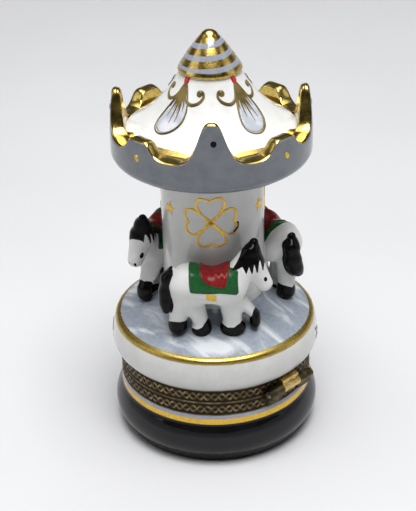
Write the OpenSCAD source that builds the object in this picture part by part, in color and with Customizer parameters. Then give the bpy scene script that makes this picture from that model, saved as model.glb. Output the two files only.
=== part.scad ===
// Carousel keepsake box in porcelain with brass mounts.
// Origin: middle of the foot, on the table. Z up, hinge at +Y, clasp at -Y.
// All sizes in millimetres.

/* [Base] */
// Widest radius of the black base
base_r = 25; // [24.6:0.1:25.4]
// Height of the base's widest point
base_bulge_z = 6.6; // [6:0.1:7]
// Height of the plane where base and lid meet
joint_z = 17.2; // [17:0.1:17.6]
// Thickness of the floor of the compartment
floor_t = 2.8; // [2:0.1:4]
// Radius of the compartment
bay_r = 19.4; // [17:0.1:19.4]

/* [Bezels] */
// Outer radius of both brass bezels
bezel_r = 23.3; // [23.2:0.05:23.4]
// Height of each bezel band
bezel_h = 3.5; // [3.3:0.1:3.6]
// Thickness of the bezel sheet
bezel_t = 0.85; // [0.7:0.05:0.9]
// Height of the locating lip above the joint
lip_h = 1.0; // [0.6:0.1:1.2]

/* [Hinge] */
// Length of the three knuckles together
hinge_len = 14.4; // [13:0.1:15.6]
// Length of the middle knuckle
mid_len = 5.4; // [4.6:0.1:6]
// Outer radius of the knuckles
knuckle_r = 1.1; // [1:0.05:1.15]
// Radius of the pin
pin_r = 0.5; // [0.4:0.05:0.6]

/* [Clasp] */
// Width of the clasp tongue
tongue_w = 5.2; // [4.4:0.1:6]
// Thickness of the clasp tongue
tongue_t = 0.5; // [0.4:0.05:0.6]
// Radius of the stud
stud_r = 0.9; // [0.7:0.05:1.1]

/* [Platform and column] */
// Outer radius of the platform's gilded edge
rim_r = 24.15; // [23.9:0.05:24.3]
// Height of the platform's gilded edge
rim_z = 28.5; // [28:0.1:29]
// Height of the platform where the column stands
stage_z = 34.1; // [33.6:0.1:34.4]
// Radius of the column
column_r = 12; // [11.8:0.1:12]
// Distance of the horses' outer legs from the axis
orbit_r = 16.6; // [16.4:0.1:16.8]

/* [Canopy] */
// Widest radius of the canopy
canopy_r = 22.95; // [22.5:0.05:23.4]
// Height of the canopy's underside at the column
canopy_z = 67.5; // [67:0.1:68]
// Height of the four tall points of the crown
crown_z = 86.9; // [86:0.1:87.5]
// Radius of the striped cap at its gilded edge
cap_r = 7.2; // [6.8:0.1:7.6]
// Height of the cap's gilded edge
cap_z = 91; // [90.5:0.1:91.5]
// Height of the very top
top_z = 99.8; // [99:0.1:101]

/* [Hidden] */
$fn = 160;
neck_r = bezel_r - bezel_t - 0.25;
cement_t = 0.25;
flange_t = 0.3;
chamfer = 0.2;
wall = 2.4;
low_z = joint_z - bezel_h;
high_z = joint_z + bezel_h;
lip_r = 20.2;
lip_t = 0.6;
flange_in = 20.8;
hinge_y = bezel_r + 1.25;
hinge_z = joint_z + 1.1;
press = 0.01;
running = 0.05;
knuckle_gap = 0.1;
side_len = (hinge_len - mid_len) / 2 - knuckle_gap;
leaf_gap = 0.15;
plate_y = bezel_r + 0.6;
tongue_top = joint_z + 3.1;
tongue_h = 5.6;
stud_z = joint_z - 1.8;
fork_clear = 0.06;
first_turn = 135;
slope_r = rim_r - 0.95;
slope_z = rim_z + 1.1;
crown_in = canopy_r - 3.6;
roof_z = 77.7;
white = [0.93, 0.93, 0.92];
grey_blue = [0.62, 0.67, 0.74];
black = [0.05, 0.05, 0.06];
brass = [0.45, 0.36, 0.2];
chalk = [0.8, 0.78, 0.72];

// Point on a quadratic curve from a to c, pulled towards b
function curve(a, b, c, t) = (1 - t) * (1 - t) * a + 2 * t * (1 - t) * b + t * t * c;
// Points along such a curve, ends included
function curve_pts(a, b, c, n) = [for (i = [0 : n]) curve(a, b, c, i / n)];
// Points on an ellipse arc in the radius and height plane
function arc_pts(c, a, b, from, to, n) =
  [for (i = [0 : n]) let (w = from + (to - from) * i / n) c + [a * cos(w), b * sin(w)]];

module band(r_in, r_out, z0, z1) {
  rotate_extrude()
    polygon([[r_in, z0], [r_out, z0], [r_out, z1], [r_in, z1]]);
}

module along_x(r, x0, x1) {
  translate([x0, 0, 0]) rotate([0, 90, 0]) cylinder(r = r, h = x1 - x0);
}

module block(x0, x1, y0, y1, z0, z1) {
  translate([x0, y0, z0]) cube([x1 - x0, y1 - y0, z1 - z0]);
}

// ---------- base ----------
module base_dish() {
  bulge_a = 3.4;
  inner_fillet = 3.5;
  color(black) rotate_extrude() polygon(concat(
    [[0, 0.9], [17.8, 0.9], [18.6, 0]],
    arc_pts([base_r - bulge_a, base_bulge_z], bulge_a, base_bulge_z, -90, 42, 22),
    [[base_r - 1.55, joint_z - 4.2], [bezel_r - 0.02, low_z - 0.05], [bezel_r - 0.1, low_z]],
    [[neck_r, low_z], [neck_r, joint_z - flange_t], [bay_r, joint_z - flange_t]],
    arc_pts([bay_r - inner_fillet, floor_t + inner_fillet], inner_fillet, inner_fillet, 0, -90, 8),
    [[0, floor_t]]));
}

module lower_cement() {
  color(chalk) band(neck_r, neck_r + cement_t, low_z, joint_z - flange_t);
}

module lower_bezel() {
  color(brass) rotate_extrude() polygon([
    [bezel_r - bezel_t, low_z], [bezel_r - chamfer / 2, low_z], [bezel_r, low_z + chamfer],
    [bezel_r, joint_z - chamfer], [bezel_r - chamfer, joint_z], [bay_r + 0.1, joint_z],
    [bay_r + 0.1, joint_z - flange_t], [bezel_r - bezel_t, joint_z - flange_t]]);
}

module locating_lip() {
  color(brass) rotate_extrude() polygon([
    [lip_r - lip_t, joint_z], [lip_r, joint_z], [lip_r, joint_z + lip_h - 0.3],
    [lip_r - 0.2, joint_z + lip_h], [lip_r - lip_t, joint_z + lip_h]]);
}

// ---------- hinge ----------
module low_knuckle(x0, x1) {
  color(brass) difference() {
    union() {
      translate([0, hinge_y, hinge_z]) along_x(knuckle_r, x0, x1);
      block(x0, x1, bezel_r + leaf_gap, hinge_y + 0.1, joint_z - 1.5, hinge_z);
      block(x0, x1, bezel_r - 2, bezel_r + leaf_gap, joint_z - 1.5, joint_z - 0.25);
    }
    translate([0, hinge_y, hinge_z]) along_x(pin_r + press, x0 - 1, x1 + 1);
    cylinder(r = bezel_r, h = joint_z + 2);
  }
}

module hinge_knuckle_left() {
  low_knuckle(-hinge_len / 2, -hinge_len / 2 + side_len);
}

module hinge_knuckle_right() {
  low_knuckle(hinge_len / 2 - side_len, hinge_len / 2);
}

module hinge_knuckle_centre() {
  half = mid_len / 2;
  color(brass) difference() {
    union() {
      translate([0, hinge_y, hinge_z]) along_x(knuckle_r, -half, half);
      block(-half, half, bezel_r - 1.5, hinge_y + 0.2, hinge_z, high_z - 0.3);
    }
    translate([0, hinge_y, hinge_z]) along_x(pin_r + running, -half - 1, half + 1);
    translate([0, 0, joint_z]) cylinder(r = bezel_r, h = 2 * bezel_h);
  }
}

module hinge_pin() {
  nose = 0.15;
  long = hinge_len / 2 + nose;
  color(brass) translate([-long, hinge_y, hinge_z]) rotate([0, 90, 0])
    rotate_extrude() polygon([[0, 0], [pin_r - nose, 0], [pin_r, nose],
      [pin_r, 2 * long - nose], [pin_r - nose, 2 * long], [0, 2 * long]]);
}

// ---------- clasp ----------
module clasp_stud() {
  root = 1;
  reach = 1.75;
  color(brass) difference() {
    translate([0, -bezel_r + root, stud_z]) rotate([90, 0, 0]) rotate_extrude()
      polygon(concat([[0, 0], [stud_r, 0]],
        arc_pts([0, root + reach - 0.5], stud_r, 0.5, 0, 90, 8)));
    cylinder(r = bezel_r, h = joint_z);
  }
}

module clasp_plate() {
  half = tongue_w / 2 - 0.3;
  color(brass) difference() {
    block(-half, half, -plate_y, -bezel_r + 1, joint_z + 1.2, tongue_top - 0.1);
    translate([0, 0, joint_z]) cylinder(r = bezel_r, h = 2 * bezel_h);
  }
}

// Flat leaf-shaped tongue with an open fork that drops over the stud
module clasp_tongue() {
  half = tongue_w / 2;
  side = curve_pts([half, -1], [half + 0.15, -4.2], [1.25, -tongue_h], 8);
  mirrored = [for (i = [len(side) - 1 : -1 : 0]) [-side[i][0], side[i][1]]];
  slot = stud_r + fork_clear;
  color(brass) translate([0, -plate_y - 0.03, tongue_top]) rotate([90, 0, 0])
    linear_extrude(tongue_t) difference() {
      polygon(concat([[-half + 0.4, 0], [half - 0.4, 0]], side, mirrored));
      translate([0, stud_z - tongue_top]) circle(r = slot, $fn = 48);
      translate([-slot, -tongue_h - 1]) square([2 * slot, tongue_h + 1 + stud_z - tongue_top]);
    }
}

// ---------- lid ----------
module upper_cement() {
  color(chalk) band(neck_r, neck_r + cement_t, joint_z + flange_t, high_z);
}

module upper_bezel() {
  color(brass) rotate_extrude() polygon([
    [flange_in, joint_z], [bezel_r - chamfer, joint_z], [bezel_r, joint_z + chamfer],
    [bezel_r, high_z - chamfer], [bezel_r - chamfer / 2, high_z], [bezel_r - bezel_t, high_z],
    [bezel_r - bezel_t, joint_z + flange_t], [flange_in, joint_z + flange_t]]);
}

module stage_solid() {
  rotate_extrude() polygon([[0, stage_z - 12], [slope_r, stage_z - 12], [slope_r, slope_z],
    [column_r, stage_z], [0, stage_z]]);
}

module lid_platform() {
  bulge_a = 3.05;
  bulge_z = high_z + 2.9;
  bulge_x = rim_r + 0.8 - bulge_a;
  bulge_end = 42;
  bulge_b = (rim_z - bulge_z) / sin(bulge_end);
  neck_in = flange_in + 0.1;
  ceiling = stage_z - 2.9;
  color(white) rotate_extrude() polygon(concat(
    [[neck_in, joint_z + flange_t], [neck_r, joint_z + flange_t], [neck_r, high_z]],
    arc_pts([bulge_x, bulge_z], bulge_a, 3.2, -61, 0, 6),
    arc_pts([bulge_x, bulge_z], bulge_a, bulge_b, 6, bulge_end, 6),
    [[rim_r - 0.25, rim_z + 0.65], [slope_r, slope_z], [column_r, stage_z], [0, stage_z]],
    [[0, ceiling], [8, ceiling], [17, slope_z - 1]],
    curve_pts([18.3, slope_z - 1.6], [neck_in, 27], [neck_in, 24], 5)));
}

module column() {
  bore_r = column_r - wall;
  color(white) band(bore_r, column_r, stage_z, canopy_z);
}

// One bay between two tall points of the crown, to be cut away
module crown_bay() {
  half = canopy_r * sin(45);
  low = crown_z - 9.4;
  mid = crown_z - 6.1;
  nose = 1.35;
  left = concat(
    [for (a = [0 : 15 : 75]) [-half + nose * sin(a), crown_z - nose * (1 - cos(a))]],
    curve_pts([-half + nose, crown_z - nose - 0.1], [-half + 2.4, low + 1.4], [-10, low], 9),
    curve_pts([-9.2, low], [-6.6, low + 0.1], [-5.6, mid - 0.6], 6),
    curve_pts([-5, mid], [-2.5, mid + 0.35], [0, mid + 0.35], 5));
  right = [for (i = [len(left) - 2 : -1 : 0]) [-left[i][0], left[i][1]]];
  translate([0, -10, 0]) rotate([90, 0, 0]) linear_extrude(20)
    polygon(concat([[-half, crown_z + 2]], left, right, [[half, crown_z + 2]]));
}

module canopy_bowl() {
  edge_z = canopy_z + 5.4;
  hollow_z = 76.2;
  color(grey_blue) difference() {
    rotate_extrude() polygon(concat(
      [[0, canopy_z], [column_r, canopy_z]],
      curve_pts([canopy_r - 2.6, canopy_z + 2.6], [canopy_r, canopy_z + 3.4], [canopy_r, edge_z], 8),
      curve_pts([canopy_r, edge_z + 0.6], [canopy_r + 0.05, 80.5], [canopy_r - 1.1, crown_z], 8),
      curve_pts([canopy_r - 2.3, crown_z], [crown_in + 0.9, crown_z - 5], [crown_in, roof_z], 5),
      [[crown_in, hollow_z], [crown_in - 1.2, hollow_z]],
      curve_pts([crown_in - 1.2, hollow_z - 1], [crown_in - 1.5, canopy_z + 4.6],
        [9.6, canopy_z + wall], 8),
      [[0, canopy_z + wall]]));
    for (k = [0 : 3]) rotate(90 * k) crown_bay();
  }
}

module roof_cone() {
  foot_z = 76.2;
  color(white) rotate_extrude() polygon(concat(
    [[crown_in - 3, foot_z], [crown_in, foot_z]],
    curve_pts([crown_in, roof_z], [11.2, 82.2], [cap_r - 0.25, cap_z - 0.3], 12),
    [[cap_r, cap_z], [cap_r - 0.2, cap_z + 0.5]],
    curve_pts([1.3, top_z - 0.9], [1.1, top_z], [0, top_z], 5),
    [[0, cap_z - 1], [cap_r - 2.4, cap_z - 1.5]],
    curve_pts([cap_r - 2, cap_z - 2.6], [9.3, 80.6], [crown_in - 3, foot_z + 0.6], 10)));
}

// ---------- horses ----------
// Turned solid along a path from p to q, with end radii r0 and r1
module limb(p, q, r0, r1) {
  d = q - p;
  len = norm(d);
  yaw = atan2(d[1], d[0]);
  pitch = acos(d[2] / len);
  translate(p) rotate([0, pitch, yaw]) cylinder(r1 = r0, r2 = r1, h = len, $fn = 32);
}

module joint_ball(p, r) {
  translate(p) sphere(r = r, $fn = 32);
}

// Body turned about its own long axis, as thick as it is high
module barrel_body() {
  translate([-10.3, 0, 0]) rotate([0, 90, 0]) rotate_extrude($fn = 48)
    polygon(concat([[0, 0]],
      arc_pts([0, 4.6], 4.6, 4.6, -80, 0, 7),
      curve_pts([4.5, 6], [4.1, 9], [4.5, 12.5], 5),
      arc_pts([0, 13.2], 4.5, 4.4, 6, 90, 7)));
}

// Heading +X, with the column on the +Y side and 0 height where the outer hooves stand
module horse_shape() {
  back_z = 13.6;
  in_y = 0.7;
  bend = [7.9, 2, 18.8];
  muzzle = [11.4, 1.9, 12.6];
  dock = [-11, 0.4, 15];
  translate([0, in_y, back_z]) barrel_body();
  // neck and bowed head, turned towards the column
  limb([3.6, in_y, 14.2], bend, 3.95, 3.1);
  joint_ball(bend, 3.05);
  limb(bend, muzzle, 2.8, 1.9);
  joint_ball(muzzle, 1.95);
  // legs, as hip x, hoof x, side and hip radius; the last one stands close to the column
  for (leg = [[-8, -8.6, 1.6, 2.6], [-5.4, -3.2, 1, 2.5], [3.6, 3.7, 1, 2.6], [5.4, 9.3, 2.9, 2.2]])
    limb([leg[0], leg[2], 11.5], [leg[1], leg[2], -3], leg[3], 1.9);
  // tail
  limb([-9, in_y, 16.2], dock, 1.6, 1.35);
  joint_ball(dock, 1.45);
  limb(dock, [-11.5, 0, 6], 1.35, 1.5);
  // mane, a pointed hood over the neck
  limb([7.7, 2.2, 16.5], [9, 2.8, 23.4], 3.4, 0.7);
  // saddle on its cloth
  translate([0, in_y, back_z]) along_x(4.75, -5, 5);
  translate([0, in_y, back_z]) along_x(5, -2.9, 2.9);
}

module horse(turn) {
  hoof_z = slope_z + (slope_r - orbit_r) * (stage_z - slope_z) / (slope_r - column_r);
  color(white) difference() {
    rotate(turn) translate([0, -orbit_r, hoof_z]) horse_shape();
    stage_solid();
    cylinder(r = column_r, h = canopy_z);
  }
}

module horse_1() {
  horse(first_turn);
}

module horse_2() {
  horse(first_turn + 120);
}

module horse_3() {
  horse(first_turn + 240);
}

base_dish();
lower_cement();
lower_bezel();
locating_lip();
hinge_knuckle_left();
hinge_knuckle_right();
hinge_pin();
clasp_stud();
upper_cement();
upper_bezel();
hinge_knuckle_centre();
clasp_plate();
lid_platform();
column();
canopy_bowl();
roof_cone();
horse_1();
horse_2();
horse_3();
clasp_tongue();
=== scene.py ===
"""Looks of the carousel keepsake box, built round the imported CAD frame. Lengths are in millimetres."""
from math import atan2, ceil, cos, degrees, dist, exp, hypot, pi, radians, sin, sqrt
import bpy
import numpy as np
from mathutils import Matrix, Vector


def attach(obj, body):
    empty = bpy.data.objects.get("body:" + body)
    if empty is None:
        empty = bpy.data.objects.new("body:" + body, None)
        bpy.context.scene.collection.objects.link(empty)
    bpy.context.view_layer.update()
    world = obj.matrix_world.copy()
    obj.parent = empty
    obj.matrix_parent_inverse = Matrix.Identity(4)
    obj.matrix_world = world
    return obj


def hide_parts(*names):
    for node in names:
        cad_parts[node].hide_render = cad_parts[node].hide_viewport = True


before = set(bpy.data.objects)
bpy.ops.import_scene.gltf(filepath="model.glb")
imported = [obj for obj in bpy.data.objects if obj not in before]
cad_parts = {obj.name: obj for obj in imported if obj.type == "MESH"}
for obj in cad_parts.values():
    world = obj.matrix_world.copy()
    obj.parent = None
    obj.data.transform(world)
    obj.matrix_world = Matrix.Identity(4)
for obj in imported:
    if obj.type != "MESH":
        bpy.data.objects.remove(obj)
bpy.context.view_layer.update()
MM = 0.001
TAU = 2 * pi

# ---- sizes shared with the CAD
BASE_R, JOINT_Z = 25.0, 17.2
BEZEL_R, BEZEL_H, BEZEL_T = 23.3, 3.5, 0.85
LOW_Z, HIGH_Z = JOINT_Z - BEZEL_H, JOINT_Z + BEZEL_H
NECK_R, BAY_R, FLOOR_T = 22.2, 19.4, 2.8
RIM_R, RIM_Z, STAGE_Z = 24.15, 28.5, 34.1
SLOPE_R, SLOPE_Z = RIM_R - 0.95, RIM_Z + 1.1
COLUMN_R, COLUMN_BORE, ORBIT_R = 12.0, 9.6, 16.6
CANOPY_R, CANOPY_Z, CROWN_Z = 22.95, 67.5, 86.9
EDGE_Z, CROWN_IN = CANOPY_Z + 5.4, CANOPY_R - 3.6
HOLLOW_Z, ROOF_Z = 76.2, 77.7     # the canopy's hollow ends under the roof's foot
FLANGE_IN = 20.8
FRONT = 45                        # azimuth of the side with the clover, halfway between +X and the hinge
CAP_R, CAP_Z, TOP_Z = 7.2, 91.0, 99.8
# height of the sloping platform under the horses' middles
STAGE_AT_ORBIT = SLOPE_Z + (SLOPE_R - ORBIT_R) * (STAGE_Z - SLOPE_Z) / (SLOPE_R - COLUMN_R)


# ---- curves and profiles
def curve(a, b, c, n):
    """Points along a curve from a to c that is pulled towards b."""
    out = []
    for i in range(n + 1):
        t = i / n
        out.append(tuple((1 - t) ** 2 * p + 2 * t * (1 - t) * q + t * t * r for p, q, r in zip(a, b, c)))
    return out


def arc(cx, cz, a, b, start, end, n):
    """Points along part of an ellipse, between two angles in degrees."""
    turns = [radians(start + (end - start) * i / n) for i in range(n + 1)]
    return [(cx + a * cos(w), cz + b * sin(w)) for w in turns]


def refine(points, step=0.6):
    """Adds points so that no piece of the profile is longer than step."""
    out = [points[0]]
    for p, q in zip(points, points[1:]):
        n = max(1, ceil(dist(p, q) / step))
        out += [tuple(a + (b - a) * i / n for a, b in zip(p, q)) for i in range(1, n + 1)]
    return out


def rounded(points, radius=0.3, n=4):
    """Rounds each inner corner of an open profile."""
    out = [points[0]]
    for a, b, c in zip(points, points[1:], points[2:]):
        va, vc = Vector(a) - Vector(b), Vector(c) - Vector(b)
        r = min(radius, va.length * 0.45, vc.length * 0.45)
        if va.length < 1e-6 or vc.length < 1e-6 or va.angle(vc) > radians(168):
            out.append(b)
            continue
        p, q = Vector(b) + va.normalized() * r, Vector(b) + vc.normalized() * r
        out += curve(tuple(p), b, tuple(q), n)
    out.append(points[-1])
    return out


def wobble(az, k, amount):
    """Smooth hand-made unevenness round the axis."""
    waves = sin(2 * az + k) + 0.6 * sin(3 * az + 2.1 * k) + 0.35 * sin(7 * az + 4.3 * k)
    return amount * waves / 1.95


def radius_at(profile, z):
    """Radius of a rising profile at a height."""
    for (r0, z0), (r1, z1) in zip(profile, profile[1:]):
        if min(z0, z1) <= z <= max(z0, z1) and abs(z1 - z0) > 1e-9:
            return r0 + (r1 - r0) * (z - z0) / (z1 - z0)
    return profile[0][0] if z < profile[0][1] else profile[-1][0]


# ---- meshes
def linked(name, data):
    obj = bpy.data.objects.new(name, data)
    bpy.context.scene.collection.objects.link(obj)
    return obj


def new_object(name, verts, faces, material):
    """Makes a smooth mesh object from points in millimetres."""
    mesh = bpy.data.meshes.new(name)
    mesh.from_pydata((np.asarray(verts, dtype=float) * MM).tolist(), [], [tuple(f) for f in faces])
    mesh.validate()
    mesh.update()
    mesh.materials.append(material)
    mesh.polygons.foreach_set("use_smooth", [True] * len(mesh.polygons))
    return linked(name, mesh)


def mesh_piece(name, body, verts, faces, material, node=(), paints=None):
    """Makes a piece that rides a body and carries painted fields on its points."""
    obj = new_object(name, verts, faces, material)
    for key, values in (paints or {}).items():
        layer = obj.data.attributes.new(key, "FLOAT", "POINT")
        layer.data.foreach_set("value", np.asarray(values, dtype=np.float32))
    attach(obj, body)
    if node:
        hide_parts(*node)


def lathe(profile, seg=192, close=True):
    """Turns a profile of (radius, height) about Z."""
    verts, rings = [], []
    for r, z in profile:
        if r < 1e-6:
            rings.append([len(verts)] * seg)
            verts.append((0.0, 0.0, z))
            continue
        rings.append(list(range(len(verts), len(verts) + seg)))
        verts += [(r * cos(TAU * i / seg), r * sin(TAU * i / seg), z) for i in range(seg)]
    faces = []
    for a, b in list(zip(rings, rings[1:])) + ([(rings[-1], rings[0])] if close else []):
        for i in range(seg):
            j = (i + 1) % seg
            corners = [a[i], a[j], b[j], b[i]]
            corners = [v for n, v in enumerate(corners) if v != corners[n - 1]]
            if len(set(corners)) >= 3:
                faces.append(corners)
    return verts, faces


def swing(col, az):
    """Turns a section of (radius, height) to an azimuth in radians."""
    return [(r * cos(az), r * sin(az), z) for r, z in col]


def ring_faces(columns, rows):
    """Faces of a closed ring whose every cross-section is a closed loop of rows points."""
    faces = []
    for i in range(columns):
        j = (i + 1) % columns
        for k in range(rows):
            m = (k + 1) % rows
            faces.append((i * rows + k, j * rows + k, j * rows + m, i * rows + m))
    return faces


def fields(verts, *rules):
    """Painted fields named after their rules, which take a point's azimuth in degrees, radius and height."""
    places = [(degrees(atan2(y, x)), hypot(x, y), z) for x, y, z in verts]
    return {rule.__name__: [rule(*place) for place in places] for rule in rules}


# ---- materials
def new_material(name):
    mat = bpy.data.materials.new(name)
    mat.use_nodes = True
    tree = mat.node_tree
    tree.nodes.clear()
    out = tree.nodes.new("ShaderNodeOutputMaterial")
    bsdf = tree.nodes.new("ShaderNodeBsdfPrincipled")
    tree.links.new(bsdf.outputs[0], out.inputs[0])
    return mat, tree, bsdf


def node(tree, kind, **values):
    """A shader node; in_Name sets the socket Name, anything else sets a property."""
    n = tree.nodes.new("ShaderNode" + kind)
    for key, value in values.items():
        if key.startswith("in_"):
            n.inputs[key[3:]].default_value = value
        else:
            setattr(n, key, value)
    return n


def feed(tree, socket, value):
    """Sets a socket to a number or a colour, or links a node's output to it."""
    if isinstance(value, (int, float)):
        socket.default_value = value
    elif isinstance(value, (tuple, list)):
        socket.default_value = (*value[:3], 1.0)
    else:
        tree.links.new(value, socket)


def dress(tree, bsdf, values):
    for key, value in values.items():
        feed(tree, bsdf.inputs[key], value)


def noise_tex(tree, scale, detail=3.0, rough=0.55, distortion=0.0, stretch=None):
    """Noise on the object's own coordinates, or stretched along the side with the clover."""
    source = node(tree, "TexCoord").outputs["Object"]
    if stretch:
        mapping = node(tree, "Mapping", in_Rotation=(0, 0, radians(FRONT)), in_Scale=stretch)
        tree.links.new(source, mapping.inputs[0])
        source = mapping.outputs[0]
    n = node(tree, "TexNoise", in_Scale=scale, in_Detail=detail, in_Roughness=rough,
             in_Distortion=distortion)
    tree.links.new(source, n.inputs["Vector"])
    return n.outputs["Fac"]


def ramp(tree, source, lo, hi, a=0.0, b=1.0):
    """Goes softly from a to b while the source goes from lo to hi."""
    n = node(tree, "MapRange", interpolation_type="SMOOTHSTEP")
    for i, v in enumerate((lo, hi, a, b)):
        n.inputs[i + 1].default_value = v
    tree.links.new(source, n.inputs[0])
    return n.outputs[0]


def calc(tree, op, a, b):
    n = node(tree, "Math", operation=op)
    feed(tree, n.inputs[0], a)
    feed(tree, n.inputs[1], b)
    return n.outputs[0]


def mix_color(tree, factor, a, b):
    n = node(tree, "Mix", data_type="RGBA")
    for i, v in ((0, factor), (6, a), (7, b)):
        feed(tree, n.inputs[i], v)
    return n.outputs[2]


def mix_value(tree, factor, a, b):
    n = node(tree, "Mix", data_type="FLOAT")
    for i, v in ((0, factor), (2, a), (3, b)):
        feed(tree, n.inputs[i], v)
    return n.outputs[0]


def attribute(tree, name):
    return node(tree, "Attribute", attribute_name=name).outputs["Fac"]


def add_bump(tree, bsdf, height, distance, strength):
    n = node(tree, "Bump", in_Strength=strength, in_Distance=distance)
    tree.links.new(height, n.inputs["Height"])
    tree.links.new(n.outputs[0], bsdf.inputs["Normal"])


def glazed(name, base, second, paints=(), rough=0.07, strokes=None, coat=0.35, gloss=0.5):
    """Glazed porcelain with paint over it.

    Each paint is (field, colour, second colour, metallic, roughness, raggedness in mm).
    Its field is below 0 inside the painted region.
    """
    mottle = 900.0
    mat, tree, bsdf = new_material(name)
    cloud = ramp(tree, noise_tex(tree, mottle * 0.35, 4.0), 0.35, 0.7)
    color = mix_color(tree, cloud, base, second)
    speck = ramp(tree, noise_tex(tree, mottle * 5, 1.0), 0.775, 0.80)
    color = mix_color(tree, calc(tree, "MULTIPLY", speck, 0.35), color, tuple(0.45 * c for c in base))
    roughness = mix_value(tree, noise_tex(tree, mottle, 3.0), rough * 0.7, rough * 1.6)
    metallic = 0.0
    edge_noise = noise_tex(tree, 1500.0, 2.0)
    for key, paint, paint2, metal_share, paint_rough, ragged in paints:
        rag = calc(tree, "MULTIPLY", calc(tree, "SUBTRACT", edge_noise, 0.5), ragged)
        mask = ramp(tree, calc(tree, "ADD", attribute(tree, key), rag), 0.035, -0.035)
        worn = ramp(tree, noise_tex(tree, 1100.0, 5.0, 0.65), 0.3, 0.72)
        color = mix_color(tree, mask, color, mix_color(tree, worn, paint, paint2))
        metallic = mix_value(tree, mask, metallic, metal_share)
        paint_rough = mix_value(tree, worn, paint_rough * 0.8, paint_rough * 1.35)
        roughness = mix_value(tree, mask, roughness, paint_rough)
        if strokes and key == strokes["field"]:
            # extra white strokes follow a second field; on the platform they are partly brushwork and partly
            # painted light
            wet = calc(tree, "MULTIPLY", attribute(tree, "strokes_and_light"), strokes["strokes_and_light"])
            wet = calc(tree, "ADD", wet, noise_tex(tree, 1.0, 4.0, 0.55, 0.8, strokes["stretch"]))
            streak = ramp(tree, wet, 0.46, 0.80, 0.0, strokes["amount"])
            color = mix_color(tree, calc(tree, "MULTIPLY", streak, mask), color, strokes["color"])
    dress(tree, bsdf, {"Base Color": color, "Roughness": roughness, "Metallic": metallic, "IOR": 1.5,
                       "Specular IOR Level": gloss, "Coat Weight": coat, "Coat Roughness": 0.04})
    ripples = calc(tree, "MULTIPLY", noise_tex(tree, 1400.0, 2.0), 0.05)
    waves = calc(tree, "ADD", noise_tex(tree, 160.0, 2.0), ripples)
    add_bump(tree, bsdf, waves, 0.00016, 0.55)
    return mat


def metal(name, bright, dark, rough=0.25, relief=None):
    """Brass or gold with darker cloudy patches; with a relief field the low parts stay dark."""
    grain = 1500.0
    mat, tree, bsdf = new_material(name)
    cloud = ramp(tree, noise_tex(tree, grain * 0.4, 5.0, 0.6), 0.35, 0.7)
    color = mix_color(tree, cloud, dark, bright)
    fine = noise_tex(tree, grain * 4, 3.0)
    roughness = mix_value(tree, fine, rough * 0.7, rough * 1.5)
    if relief:
        high = ramp(tree, attribute(tree, relief), 0.25, 0.95)
        tint = calc(tree, "MULTIPLY", high, ramp(tree, fine, 0.25, 0.6, 0.55, 1.0))
        color = mix_color(tree, tint, tuple(0.25 * c for c in dark), color)
        roughness = mix_value(tree, high, 0.6, roughness)
    dress(tree, bsdf, {"Base Color": color, "Roughness": roughness, "Metallic": 1.0})
    add_bump(tree, bsdf, calc(tree, "ADD", fine, noise_tex(tree, grain * 0.5, 2.0)), 0.00004, 0.6)
    return mat


GOLD = (0.70, 0.52, 0.15), (0.44, 0.31, 0.065)
OCHRE = (0.50, 0.36, 0.08), (0.36, 0.25, 0.05)
WHITE = (0.69, 0.69, 0.675), (0.64, 0.64, 0.625)
# a darker copy of WHITE for the platform and the column: painted shade on their upright sides
SHADED_WHITE = (0.57, 0.57, 0.55), (0.53, 0.53, 0.51)
SLATE = (0.135, 0.15, 0.168), (0.112, 0.124, 0.143)

SLOPE_BLUE = (0.235, 0.268, 0.318), (0.30, 0.335, 0.38)
# near-black for the base's foot band, which is painted shade
SHADE_BLACK = (0.007, 0.007, 0.007), (0.004, 0.004, 0.004)

gold_rim = ("gold", *GOLD, 1.0, 0.2, 0.12)
ochre_ring = ("ochre", *OCHRE, 0.9, 0.3, 0.10)
white_inside = ("inner", *WHITE, 0.0, 0.08, 0.0)
# The base's foot band is painted black with metallic 1, so it reflects almost nothing: painted shade for the
# dark gap under the bulge.
base_glaze = glazed("black_glaze", (0.004, 0.004, 0.005), (0.007, 0.007, 0.008),
                    [("foot", *SHADE_BLACK, 1.0, 0.3, 0.03),
                     ("band", (0.36, 0.37, 0.43), (0.30, 0.31, 0.38), 0.0, 0.1, 0.06),
                     ("ochre", (0.78, 0.52, 0.08), (0.60, 0.37, 0.05), 0.85, 0.22, 0.12),
                     white_inside], rough=0.05, coat=0.0, gloss=0.34)
stage_glaze = glazed("stage_glaze", *SHADED_WHITE,
                     [("slope", *SLOPE_BLUE, 0.0, 0.12, 0.10), ochre_ring],
                     strokes={"field": "slope", "stretch": (330, 80, 160), "amount": 0.62, "strokes_and_light": 0.46,
                              "color": (0.82, 0.84, 0.86)})
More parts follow.
